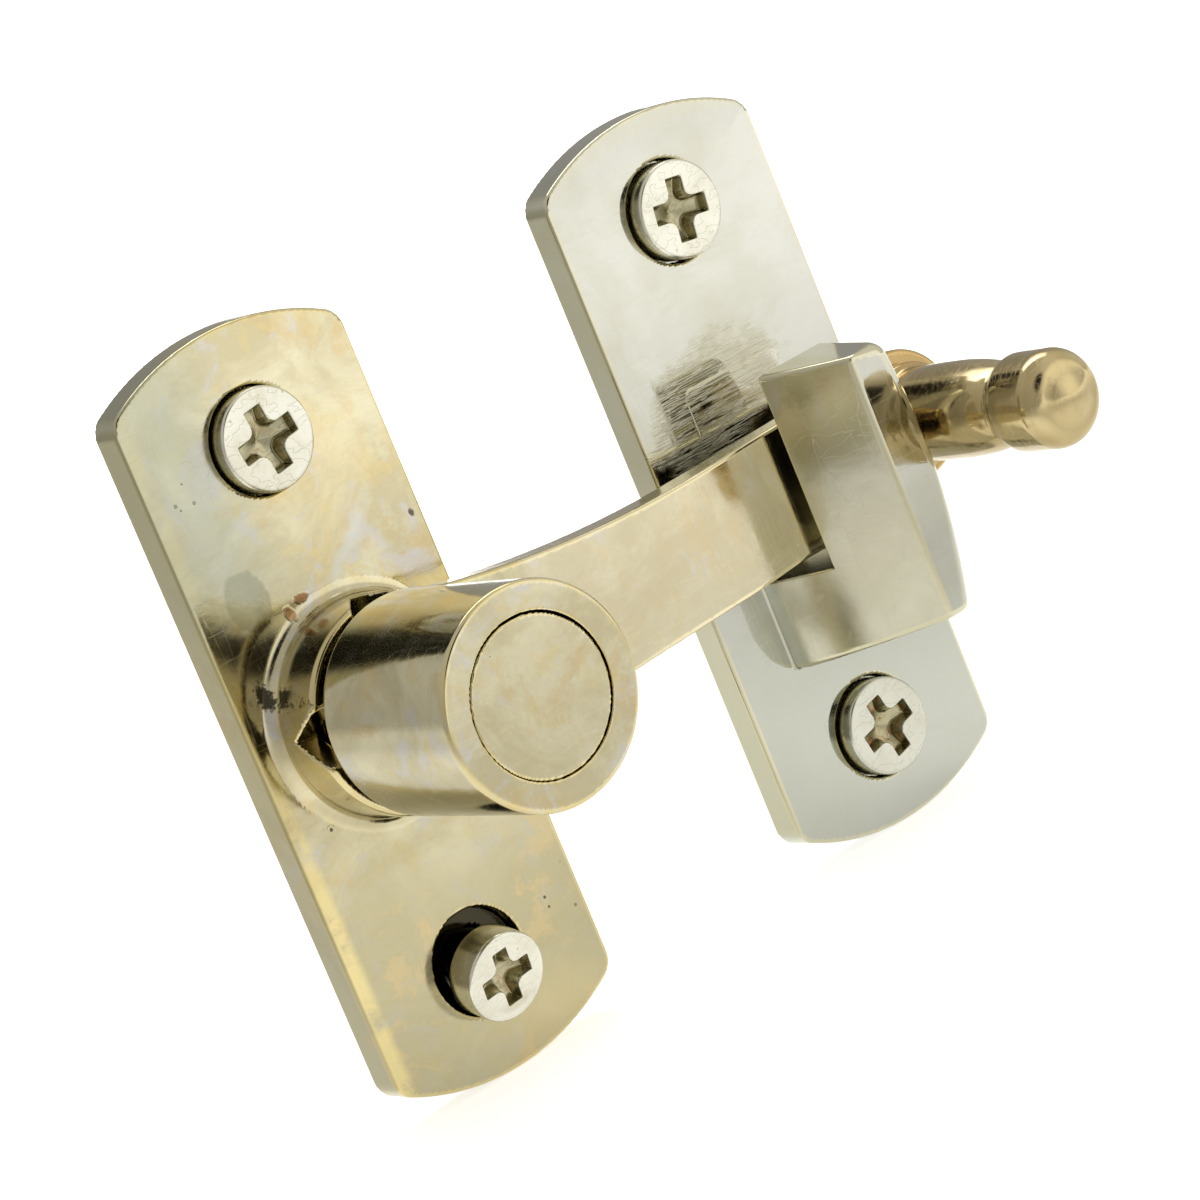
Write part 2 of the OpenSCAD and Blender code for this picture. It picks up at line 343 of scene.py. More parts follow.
def arm(x, y, z):
    r = np.hypot(x, y)
    hub = rmax(rmax(r - 7.4, z - 23.1, 0.3), 8.8 - z, 0.35)
    ca, sa = math.cos(LEAN), math.sin(LEAN)
    xl = x * ca - (z - 11.3) * sa
    zl = x * sa + (z - 11.3) * ca
    t = np.clip(1 - xl / 26, 0, None)
    upper = (y - (4.1 + 3.3 * t * t)) / np.sqrt(1 + (6.6 * t / 26) ** 2)
    lower = np.interp(xl, [2, 12, 39.6, 45.6], [-5.35, -5.33, -5.1, -4.55]) - y
    dip = np.clip((xl - 27.6) / 6.4, 0, 1)
    dip = 0.45 * dip * dip * (3 - 2 * dip)
    blade = rmax(np.maximum(upper, lower), np.maximum(zl + dip, -2.5 - zl), 0.28)
    blade = np.maximum(blade, np.maximum(1.0 - xl, xl - 45.6))
    d = rmin(hub, blade, 0.22)
    rd = np.hypot(x - 45.6, y)
    disc = rmax(rd - 4.7, np.abs(z - 6.525) - 1.325, 0.3)
    d = rmin(d, disc, 0.2)
    spigot = rmax(r - 5.2, 4.8 - z, 0.2)
    d = np.minimum(d, np.maximum(spigot, z - 9.5))
    # tooth that clicks over the notches
    c, s = math.cos(math.radians(5)), math.sin(math.radians(5))
    xr, u = x * c - y * s, np.abs(x * s + y * c)
    tooth = np.maximum(7.97 - z, (u - 0.33 - (z - 7.97) * 0.926) * 0.734)
    tooth = np.maximum(np.maximum(tooth, z - 9.4), np.maximum(5.0 - xr, xr - 7.28))
    d = rmin(d, tooth, 0.08)
    d = np.maximum(d, 2.3 - r)
    d = rmax(d, -np.maximum(r - 5.35, 12.0 - z), 0.1)
    d = np.maximum(d, 1.53 - rd)
    return np.maximum(d, -np.maximum((rd - 2.22 + (z - 5.2)) * 0.707, z - 5.92))


def keep(x, y, z):
    """The hook: a swelling ramp, drafted ends, a right side struck round the pivot."""
    side = np.hypot(x, y) - 41.45
    x = x - 37.0
    d = plate(x, y, z, 1.3, math.radians(8), KEEP_SCREW_Y)
    ramp = np.hypot(x - 31.57, z + 5.87) - 37.54
    body = smax(ramp, -4.65 - x, 0.12)
    body = smax(body, rmax(side, z - 15.15, 1.1), 0.2)
    upper = (y - 7.95 + 0.09 * np.maximum(z - 8.5, 0)) * 0.996
    body = rmax(body, upper, 0.3 + 0.7 * np.clip((x - 1.0) / 2.5, 0, 1))
    lower = (-13.1 - y + 0.09 * np.maximum(z - 4.0, 0)) * 0.996
    body = rmax(body, lower, 0.4)
    body = np.maximum(body, 1.0 - z)
    slot = np.maximum(np.maximum(-6.4 - y, T - z), z - 9.0)
    body = rmax(body, -slot, 0.14)
    return rmin(d, body, 0.14)


def screw_shape(dia, neck=0.0):
    """Wood screw, head outward, seated at z = 0, with a rounded cross recess."""
    R = dia / 2
    k = dia / 6.8

    def f(x, y, z):
        r = np.hypot(x, y)
        head = rmax(r - R, z - 2.4, 0.24)
        head = rmax(head, -z, 0.1)
        a, b = np.abs(x), np.abs(y)
        bar_a = np.maximum(a - 2.2 * k, b - 0.66 * k)
        bar_b = np.maximum(b - 2.2 * k, a - 0.66 * k)
        cross = rmin(bar_a, bar_b, 0.62 * k) + 0.14 * (2.4 - z)
        void = rmax(cross, 0.75 + 0.35 * r - z, 0.12)
        head = rmax(head, -void, 0.07)
        # threads
        th = np.arctan2(y, x) / (2 * math.pi)
        ph = (z / 1.45 - th) % 1.0
        crest = np.clip(1 - np.abs(2 * ph - 1) * 1.9, 0, 1)
        body = np.clip((z + 16) / 4.2, 0.02, 1)
        fade = np.clip((-3.4 - z) / 1.2, 0, 1)
        rr = body * (1.26 + 0.49 * crest * fade + (0.74 if neck else 0.34) * (1 - fade))
        shank = np.maximum((r - rr) * 0.75, np.maximum(z - 0.3, -16.0 - z))
        d = np.minimum(head, shank)
        if neck:
            cone = np.maximum((r - 2.85 - z * 0.8) * 0.78, np.maximum(z - 0.2, -neck - z))
            plug = np.maximum(np.hypot(x, y - 0.25) - 2.2, np.maximum(z - 0.1, -2.2 - z))
            d = np.minimum(d, np.minimum(cone, plug))
        return d

    return f


# ---------------------------------------------------------------- materials


class Mat:
    """A small helper for node materials. p is the position in millimetres."""

    def __init__(self, name):
        self.m = bpy.data.materials.new(name)
        self.m.use_nodes = True
        self.t = self.m.node_tree
        self.t.nodes.clear()
        out = self.node("ShaderNodeOutputMaterial")
        self.b = self.node("ShaderNodeBsdfPrincipled")
        self.t.links.new(self.b.outputs[0], out.inputs[0])
        tc = self.node("ShaderNodeTexCoord")
        sc = self.node("ShaderNodeVectorMath", operation="SCALE")
        self.t.links.new(tc.outputs["Object"], sc.inputs[0])
        sc.inputs["Scale"].default_value = 1000.0
        self.p = sc.outputs[0]

    def node(self, kind, **kw):
        n = self.t.nodes.new(kind)
        for k, v in kw.items():
            setattr(n, k, v)
        return n

    def put(self, sock, v):
        if isinstance(v, bpy.types.NodeSocket):
            self.t.links.new(v, sock)
        elif v is not None:
            if isinstance(v, tuple) and len(v) == 3 and sock.type == "RGBA":
                v = (*v, 1.0)
            sock.default_value = v

    def math(self, op, a, b=None, c=None, clamp=False):
        n = self.node("ShaderNodeMath", operation=op, use_clamp=clamp)
        for i, v in enumerate((a, b, c)):
            if v is not None:
                self.put(n.inputs[i], v)
        return n.outputs[0]

    def mapped(self, scale=(1, 1, 1), rot=(0, 0, 0), loc=(0, 0, 0), vec=None):
        n = self.node("ShaderNodeMapping")
        self.put(n.inputs["Vector"], vec or self.p)
        n.inputs["Scale"].default_value = scale
        n.inputs["Rotation"].default_value = tuple(math.radians(a) for a in rot)
        n.inputs["Location"].default_value = loc
        return n.outputs[0]

    def noise(self, scale, detail=4.0, rough=0.5, dist=0.0, vec=None):
        n = self.node("ShaderNodeTexNoise")
        self.put(n.inputs["Vector"], vec or self.p)
        n.inputs["Scale"].default_value = scale
        n.inputs["Detail"].default_value = detail
        n.inputs["Roughness"].default_value = rough
        n.inputs["Distortion"].default_value = dist
        return n.outputs["Fac"]

    def cells(self, scale, vec=None, feature="F1"):
        n = self.node("ShaderNodeTexVoronoi", feature=feature)
        self.put(n.inputs["Vector"], vec or self.p)
        n.inputs["Scale"].default_value = scale
        return n.outputs

    def step(self, v, lo, hi):
        """0 below lo, 1 above hi, smooth between. lo > hi turns it round."""
        n = self.node("ShaderNodeMapRange", interpolation_type="SMOOTHSTEP")
        self.put(n.inputs["Value"], v)
        if lo < hi:
            n.inputs["From Min"].default_value = lo
            n.inputs["From Max"].default_value = hi
        else:
            n.inputs["From Min"].default_value = hi
            n.inputs["From Max"].default_value = lo
            n.inputs["To Min"].default_value = 1.0
            n.inputs["To Max"].default_value = 0.0
        return n.outputs[0]

    def mix(self, fac, a, b, blend="MIX"):
        n = self.node("ShaderNodeMix", data_type="RGBA", blend_type=blend)
        self.put(n.inputs[0], fac)
        self.put(n.inputs[6], a)
        self.put(n.inputs[7], b)
        return n.outputs[2]

    def attr(self, name):
        n = self.node("ShaderNodeAttribute", attribute_name=name)
        return n.outputs["Fac"]

    def xyz(self, vec=None):
        n = self.node("ShaderNodeSeparateXYZ")
        self.put(n.inputs[0], vec or self.p)
        return n.outputs

    def spot(self, x, z, rx, rz, turn=0.0, soft=0.5, wobble=0.0, scale=0.8):
        """1 inside an ellipse drawn on the front, at x across and z up."""
        v = self.mapped(loc=(-x, 0, -z))
        if turn:
            v = self.mapped(rot=(0, turn, 0), vec=v)
        v = self.mapped(scale=(1 / rx, 0, 1 / rz), vec=v)
        n = self.node("ShaderNodeVectorMath", operation="LENGTH")
        self.put(n.inputs[0], v)
        d = n.outputs["Value"]
        if wobble:
            w = self.noise(scale, 4, 0.6)
            d = self.math("ADD", d, self.math("MULTIPLY", self.math("SUBTRACT", w, 0.5), wobble))
        return self.step(d, 1.0, 1.0 - soft)

    def front(self, y=-2.4, soft=0.3):
        """1 in front of a depth y (CAD Y, millimetres)."""
        return self.step(self.xyz()[1], y + soft, y - soft)

    def finish(self, colour, metallic=1.0, rough=0.2, height=None, distance=1e-5, normal=None):
        self.put(self.b.inputs["Base Color"], colour)
        self.put(self.b.inputs["Metallic"], metallic)
        self.put(self.b.inputs["Roughness"], rough)
        if height is not None:
            n = self.node("ShaderNodeBump")
            n.inputs["Strength"].default_value = 1.0
            n.inputs["Distance"].default_value = distance
            self.put(n.inputs["Height"], height)
            self.t.links.new(n.outputs[0], self.b.inputs["Normal"])
        return self.m


def srgb(r, g, b):
    return tuple(
        (c / 255 / 12.92) if c / 255 <= 0.04045 else ((c / 255 + 0.055) / 1.055) ** 2.4
        for c in (r, g, b)
    )


def scratches(k, scale, stretch, rot, width, seed):
    """Thin lines: where a drawn-out noise crosses its middle."""
    v = k.mapped(scale=stretch, rot=rot, loc=(seed, seed * 1.7, seed * 0.6))
    n = k.noise(scale, 2.0, 0.5, 0.0, v)
    d = k.math("ABSOLUTE", k.math("SUBTRACT", n, 0.5))
    return k.step(d, width, width * 0.2)


def aged_nickel(name, seed, marks=None, brass_end=False):
    k = Mat(name)
    base = k.mapped(loc=(seed * 13.1, seed * 7.7, seed * 3.3))
    cream = srgb(217, 211, 182)
    champagne = srgb(198, 189, 156)
    straw = srgb(214, 196, 142)
    lilac = srgb(204, 203, 206)
    ochre = srgb(204, 178, 128)
    cloud = k.noise(0.11, 6, 0.62, 0.9, base)
    col = k.mix(k.step(cloud, 0.4, 0.6), champagne, cream)
    tarn = k.noise(0.23, 9, 0.68, 0.6, k.mapped(loc=(31 + seed, 4, 9), vec=base))
    col = k.mix(k.math("MULTIPLY", k.step(tarn, 0.5, 0.64), 0.48), col, ochre)
    film = k.noise(0.2, 8, 0.66, 1.1, k.mapped(loc=(3, 17 + seed, 21), vec=base))
    col = k.mix(k.math("MULTIPLY", k.step(film, 0.53, 0.65), 0.75), col, lilac)
    yellow = k.noise(0.34, 7, 0.6, 0.5, k.mapped(loc=(7, 2, 41 + seed), vec=base))
    col = k.mix(k.math("MULTIPLY", k.step(yellow, 0.54, 0.66), 0.46), col, straw)
    fine = k.noise(2.6, 6, 0.7, 0.0, base)
    col = k.mix(k.math("MULTIPLY", k.step(fine, 0.35, 0.75), 0.16), col, srgb(186, 176, 140))
    foot = k.step(k.math("ADD", k.xyz()[2], k.math("MULTIPLY", k.noise(0.2, 4, 0.5, 0, base), 8.0)), 3.0, -12.0)
    col = k.mix(k.math("MULTIPLY", foot, 0.76), col, k.mix(tarn, srgb(168, 164, 136), srgb(163, 154, 120)))
    blush = k.math("MULTIPLY", k.step(k.math("ADD", tarn, k.math("MULTIPLY", fine, 0.22)), 0.62, 0.74), foot)
    col = k.mix(k.math("MULTIPLY", blush, 0.5), col, srgb(200, 180, 138))
    edge = k.attr("edge")
    worn = k.step(k.math("ADD", edge, k.math("MULTIPLY", k.noise(0.5, 5, 0.6, 0.3, base), 0.5)), 0.45, 1.4)
    col = k.mix(k.math("MULTIPLY", worn, 0.6), col, srgb(212, 196, 140))
    cavity = k.step(edge, -0.35, -1.2)
    col = k.mix(k.math("MULTIPLY", cavity, 0.55), col, srgb(120, 108, 70))
    # pits, in clusters
    pit_field = k.step(k.noise(0.13, 3, 0.5, 0.0, k.mapped(loc=(91, seed, 5), vec=base)), 0.55, 0.68)
    c = k.cells(1.15, base)
    size = k.math("MULTIPLY", k.step(k.noise(0.9, 2, 0.5, 0, base), 0.45, 0.7), 0.16)
    pit = k.math("MULTIPLY", k.step(k.math("SUBTRACT", c["Distance"], size), 0.02, -0.03), pit_field)
    col = k.mix(k.math("MULTIPLY", pit, 0.85), col, srgb(84, 74, 48))
    rough = k.math("ADD", 0.085, k.math("MULTIPLY", k.step(film, 0.45, 0.75), 0.1))
    rough = k.math("ADD", rough, k.math("MULTIPLY", k.step(cloud, 0.6, 0.35), 0.05))
    fine_lines = scratches(k, 0.32, (0.25, 1, 3.0), (0, 24, 0), 0.004, 2 + seed)
    fine_lines2 = scratches(k, 0.3, (3.0, 1, 0.25), (0, 12, 0), 0.004, 11 + seed)
    lines = k.math("MAXIMUM", fine_lines, fine_lines2)
    rough = k.math("ADD", rough, k.math("MULTIPLY", lines, 0.1))
    height = k.math("MULTIPLY", k.noise(0.32, 3, 0.5, 0.2, base), 4.0)
    height = k.math("ADD", height, k.math("MULTIPLY", k.noise(5.0, 4, 0.6, 0, base), 0.14))
    height = k.math("SUBTRACT", height, k.math("MULTIPLY", lines, 0.12))
    height = k.math("SUBTRACT", height, k.math("MULTIPLY", pit, 5.0))
    if marks:
        col, rough, height = marks(k, col, rough, height)
    if brass_end:
        x = k.xyz()[0]
        end = k.step(k.math("ADD", x, k.math("MULTIPLY", k.noise(0.8, 4, 0.5, 0, base), 1.5)), 41.2, 42.6)
        col = k.mix(end, col, k.mix(k.noise(0.6, 5, 0.6, 0.4, base), srgb(200, 176, 124), srgb(180, 150, 100)))
    return k.finish(col, 1.0, rough, height, 6e-6)


def plate_marks(k, col, rough, height):
    """Old stains and pits on the pivot plate, a yellowish left edge that carries a painted edge highlight, painted
    shade in the lower screw's recess and on the left side wall, and a darker band below the hub.
    """
    front = k.front()
    x, _, z = k.xyz()
    # partly yellowed tone, partly painted highlight: a bright yellow band along the plate's left edge
    left = k.math("MULTIPLY", k.step(x, -8.0, -8.75), k.step(k.noise(0.5, 6, 0.65, 0.4), 0.3, 0.55))
    col = k.mix(k.math("MULTIPLY", k.math("MULTIPLY", left, front), 0.75), col, srgb(222, 206, 148))
    pale = k.spot(-6.4, 15.5, 2.0, 8.0, 4, 0.9, 0.8, 0.5)
    col = k.mix(k.math("MULTIPLY", pale, 0.55), col, srgb(214, 214, 198))
    smudge = k.spot(-5.4, 9.9, 1.75, 2.3, 8, 0.16, 0.45, 1.0)
    col = k.mix(k.math("MULTIPLY", k.math("MULTIPLY", smudge, front), 0.6), col, srgb(128, 124, 100))
    core = k.spot(-4.9, 8.2, 0.8, 1.9, 0, 0.7, 0.9, 1.6)
    col = k.mix(k.math("MULTIPLY", k.math("MULTIPLY", core, front), 0.4), col, srgb(84, 82, 72))
    black = k.spot(-7.1, 3.9, 0.62, 1.15, 4, 0.35, 1.7, 3.2)
    black = k.math("MULTIPLY", black, front)
    col = k.mix(k.math("MULTIPLY", black, 0.92), col, srgb(44, 40, 30))
    cluster = k.math("MAXIMUM", k.spot(-6.8, 17.2, 1.5, 3.4, 0, 0.5), k.spot(-7.4, 13.2, 0.8, 1.8, 0, 0.5))
    c = k.cells(1.55, k.mapped(loc=(2, 0, 5)))
    size = k.math("MULTIPLY", k.step(k.noise(1.3, 2, 0.5), 0.38, 0.75), 0.22)
    dots = k.math("MULTIPLY", k.step(k.math("SUBTRACT", c["Distance"], size), 0.01, -0.05), cluster)
    pin = k.spot(-6.4, -6.0, 0.34, 0.34, 0, 0.15)
    eye = k.spot(-6.4, -6.0, 0.14, 0.14, 0, 0.3)
    chip = k.spot(8.6, 9.9, 0.26, 0.4, 10, 0.6)
    holes = k.math("MAXIMUM", dots, k.math("MAXIMUM", eye, chip))
    holes = k.math("MULTIPLY", holes, front)
    col = k.mix(k.math("MULTIPLY", holes, 0.85), col, srgb(74, 66, 42))
    height = k.math("SUBTRACT", height, k.math("MULTIPLY", holes, 6.0))
    height = k.math("ADD", height, k.math("MULTIPLY", k.math("MULTIPLY", pin, front), 2.0))
    bead = k.math("MAXIMUM", k.spot(-2.9, 7.9, 0.5, 0.7, 20, 0.4, 0.9, 2.0), k.spot(-1.7, 8.5, 0.7, 0.4, 0, 0.4, 0.9, 2.2))
    bead = k.math("MULTIPLY", bead, k.front())
    col = k.mix(k.math("MULTIPLY", bead, 0.85), col, srgb(142, 96, 46))
    height = k.math("ADD", height, k.math("MULTIPLY", bead, 6.0))
    blue = k.spot(3.2, 10.2, 4.6, 0.8, 38, 0.9, 1.4, 1.2)
    col = k.mix(k.math("MULTIPLY", k.math("MULTIPLY", blue, front), 0.55), col, srgb(206, 212, 214))
    warm = k.spot(3.5, 15.6, 6.0, 7.0, 0, 0.9, 0.9, 0.35)
    col = k.mix(k.math("MULTIPLY", warm, 0.35), col, srgb(224, 208, 160))
    foot = k.spot(3.4, -24.5, 7.5, 5.0, 0, 0.9, 0.8, 0.4)
    col = k.mix(k.math("MULTIPLY", foot, 0.4), col, srgb(204, 186, 138))
    # painted shade: near-black in the lower pivot screw's counterbore, round the loose screw's head
    recess_painted_shade = k.math("MULTIPLY", k.spot(0, -PIVOT_SCREW_Y, 3.75, 3.75, 0, 0.06), k.math("MULTIPLY", k.step(k.xyz()[1], -2.3, -1.9), k.step(k.xyz()[1], -0.1, -0.4)))
    col = k.mix(k.math("MULTIPLY", recess_painted_shade, 0.93), col, srgb(34, 31, 24))
    cool = k.math("MULTIPLY", k.step(x, 0.5, -6.0), k.step(z, 4.0, 12.0))
    col = k.mix(k.math("MULTIPLY", cool, 0.62), col, srgb(162, 167, 152))
    # painted shade: the plate's left side wall darker, more so towards the bottom
    flank_painted_shade = k.step(x, -9.25, -9.45)
    col = k.mix(k.math("MULTIPLY", flank_painted_shade, 0.6), col, k.mix(k.step(z, 2.0, -16.0), srgb(166, 160, 126), srgb(128, 124, 102)))
    # a darker band across the plate's front just below the hub
    below_hub_band = k.spot(-1.0, -9.6, 7.5, 1.6, 0, 0.9, 1.0, 0.9)
    col = k.mix(k.math("MULTIPLY", k.math("MULTIPLY", below_hub_band, front), 0.35), col, srgb(168, 158, 120))
    return col, rough, height


def arm_marks(k, col, rough, height):
    """Golden, brushed tarnish on the blade, lilac haze on the hub's front, and painted shade on the hub's underside."""
    front_hub = k.step(k.xyz()[1], -22.7, -23.0)
    haze = k.noise(0.45, 8, 0.7, 0.8, k.mapped(loc=(5, 1, 2)))
    col = k.mix(k.math("MULTIPLY", k.math("MULTIPLY", k.step(haze, 0.5, 0.68), front_hub), 0.5), col, srgb(203, 203, 208))
    gold = k.spot(25.5, 0.5, 5.0, 5.5, 12, 0.9, 1.0, 0.45)
    brushed = k.noise(0.9, 5, 0.65, 0.2, k.mapped(scale=(3.2, 1, 0.55), rot=(0, 8, 0)))
    col = k.mix(k.math("MULTIPLY", k.math("MULTIPLY", gold, k.step(brushed, 0.4, 0.62)), 0.6), col, srgb(214, 184, 122))
    stain = k.spot(17.0, -0.5, 8.0, 5.0, 0, 0.9, 1.1, 0.4)
    tone = k.noise(0.5, 8, 0.7, 0.7, k.mapped(loc=(2, 6, 3)))
    col = k.mix(k.math("MULTIPLY", k.math("MULTIPLY", stain, k.step(tone, 0.46, 0.62)), 0.4), col, srgb(205, 176, 134))
    x, _, z = k.xyz()
    # painted shade: the hub's side darkens towards its underside, nearly black at the bottom
    flank_painted_shade = k.math("MULTIPLY", k.step(x, 9.0, 7.0), k.step(k.xyz()[1], -22.9, -22.3))
    underside_painted_shade = k.math("MULTIPLY", k.step(z, 1.5, -5.2), flank_painted_shade)
    col = k.mix(k.math("MULTIPLY", underside_painted_shade, 0.8), col, srgb(126, 121, 90))
    belly_painted_shade = k.math("MULTIPLY", k.step(z, -4.0, -7.2), flank_painted_shade)
    col = k.mix(k.math("MULTIPLY", belly_painted_shade, 0.75), col, srgb(74, 70, 46))
    blade = k.step(x, 9.0, 11.0)
    col = k.mix(k.math("MULTIPLY", blade, 0.42), col, srgb(236, 228, 202))
    return col, rough, height


def bright_nickel(name):
    k = Mat(name)
    base = srgb(205, 206, 199)
    soft = k.noise(0.12, 5, 0.6, 0.5)
    col = k.mix(k.step(soft, 0.35, 0.68), base, srgb(196, 195, 182))
    foot = k.step(k.math("ADD", k.xyz()[2], k.math("MULTIPLY", k.noise(0.2, 4, 0.5), 8.0)), 4.0, -12.0)
    col = k.mix(k.math("MULTIPLY", foot, 0.85), col, srgb(174, 177, 168))
    edge = k.attr("edge")
    worn = k.step(k.math("ADD", edge, k.math("MULTIPLY", k.noise(0.4, 5, 0.6, 0.3), 0.35)), 0.35, 1.1)
    col = k.mix(k.math("MULTIPLY", worn, 0.5), col, srgb(214, 206, 168))
    col = k.mix(k.math("MULTIPLY", k.step(edge, -0.35, -1.2), 0.4), col, srgb(140, 130, 96))
    fine = k.noise(3.0, 5, 0.7)
    col = k.mix(k.math("MULTIPLY", k.step(fine, 0.4, 0.75), 0.08), col, srgb(190, 184, 158))
    # the hook's ramp has yellowed more than its front, and a brown band on its left near the slot is a painted
    # reflection of the arm
    ramp = k.math("MULTIPLY", k.step(k.xyz()[1], -3.3, -4.2), k.step(k.xyz()[0], 37.62, 37.42))
    blotch = k.noise(0.3, 6, 0.6, 0.5, k.mapped(loc=(8, 3, 2)))
    high = k.step(k.xyz()[2], 6.0, -7.0)
    # painted reflection: a brown band down the ramp's left side near the slot, where the arm is mirrored
    warm = k.math("MULTIPLY", ramp, k.step(k.math("ADD", k.xyz()[0], k.math("MULTIPLY", k.xyz()[2], 0.06)), 32.9, 31.4))
    warm = k.math("MULTIPLY", warm, k.step(k.xyz()[2], -8.0, -3.5))
    ramp = k.math("MULTIPLY", ramp, k.math("ADD", 0.3, k.math("MULTIPLY", high, 0.1)))
    col = k.mix(ramp, col, k.mix(k.step(blotch, 0.35, 0.65), srgb(204, 198, 166), srgb(192, 185, 150)))
    col = k.mix(k.math("MULTIPLY", warm, 0.8), col, srgb(154, 131, 88))
    # painted shade: the keep plate's left side wall darker
    flank_painted_shade = k.step(k.xyz()[0], 27.75, 27.55)
    col = k.mix(k.math("MULTIPLY", flank_painted_shade, 0.6), col, srgb(166, 162, 130))
    # a rubbed patch on the plate where the arm has dragged
    front = k.math("MULTIPLY", k.step(k.xyz()[1], -2.2, -2.6), k.step(k.xyz()[1], -4.0, -3.2))
    patch = k.spot(34.5, 6.6, 7.6, 4.6, 20, 0.4, 0.9, 0.5)
    patch = k.math("MULTIPLY", patch, front)
    col = k.mix(k.math("MULTIPLY", patch, 0.4), col, srgb(170, 163, 124))
    l1 = scratches(k, 0.9, (0.2, 1, 5.5), (0, -12, 0), 0.028, 4)
    l2 = scratches(k, 0.8, (0.18, 1, 6.5), (0, -20, 0), 0.022, 9)
    l3 = scratches(k, 0.9, (0.25, 1, 4.0), (0, -4, 0), 0.018, 15)
    dense = k.math("MULTIPLY", k.math("MAXIMUM", l1, k.math("MAXIMUM", l2, l3)), patch)
    f1 = scratches(k, 0.3, (0.25, 1, 3), (0, 35, 0), 0.003, 21)
    f2 = scratches(k, 0.3, (3, 1, 0.25), (0, 10, 0), 0.003, 27)
    sparse = k.math("MAXIMUM", f1, f2)
    rough = k.math("ADD", 0.055, k.math("MULTIPLY", k.step(soft, 0.5, 0.8), 0.03))
    rough = k.math("ADD", rough, k.math("MULTIPLY", ramp, 0.3))
    col = k.mix(k.math("MULTIPLY", dense, 0.5), col, srgb(236, 235, 224))
    rough = k.math("ADD", rough, k.math("MULTIPLY", dense, 0.38))
    rough = k.math("ADD", rough, k.math("MULTIPLY", sparse, 0.07))
    height = k.math("MULTIPLY", k.noise(0.25, 3, 0.5, 0.2), 3.0)
    height = k.math("ADD", height, k.math("MULTIPLY", k.noise(6.0, 3, 0.6), 0.05))
    height = k.math("SUBTRACT", height, k.math("MULTIPLY", dense, 0.7))
    height = k.math("SUBTRACT", height, k.math("MULTIPLY", sparse, 0.15))
    return k.finish(col, 1.0, rough, height, 5e-6)


def turned_brass(name):
    k = Mat(name)
    soft = k.noise(0.22, 5, 0.6, 0.5)
    col = k.mix(k.step(soft, 0.35, 0.68), srgb(200, 184, 142), srgb(184, 165, 121))
    dull = k.noise(0.7, 8, 0.7, 0.5, k.mapped(loc=(4, 8, 1)))
    col = k.mix(k.math("MULTIPLY", k.step(dull, 0.54, 0.72), 0.35), col, srgb(166, 142, 96))
    # lathe lines go round the axis: they only vary with depth
    rings = k.noise(3.0, 3, 0.6, 0.0, k.mapped(scale=(0.02, 1, 0.02)))
    col = k.mix(k.math("MULTIPLY", k.step(rings, 0.52, 0.64), 0.14), col, srgb(160, 134, 86))
    foot = k.step(k.math("ADD", k.xyz()[1], k.math("MULTIPLY", k.noise(1.1, 5, 0.6), 1.2)), -9.8, -8.6)
    col = k.mix(k.math("MULTIPLY", foot, 0.4), col, srgb(178, 138, 84))
    # painted shade: the knob's lower side darker
    underside_painted_shade = k.step(k.xyz()[2], 0.6, -3.6)
    col = k.mix(k.math("MULTIPLY", underside_painted_shade, 0.5), col, srgb(132, 116, 76))
    nick = scratches(k, 0.5, (1.4, 5, 1.4), (0, 0, 20), 0.008, 3)
    rough = k.math("ADD", 0.11, k.math("MULTIPLY", k.step(dull, 0.4, 0.7), 0.08))
    rough = k.math("ADD", rough, k.math("MULTIPLY", nick, 0.1))
    height = k.math("ADD", k.math("MULTIPLY", rings, 0.25), k.math("MULTIPLY", soft, 0.7))
    height = k.math("SUBTRACT", height, k.math("MULTIPLY", nick, 0.4))
    return k.finish(col, 1.0, rough, height, 6e-6)


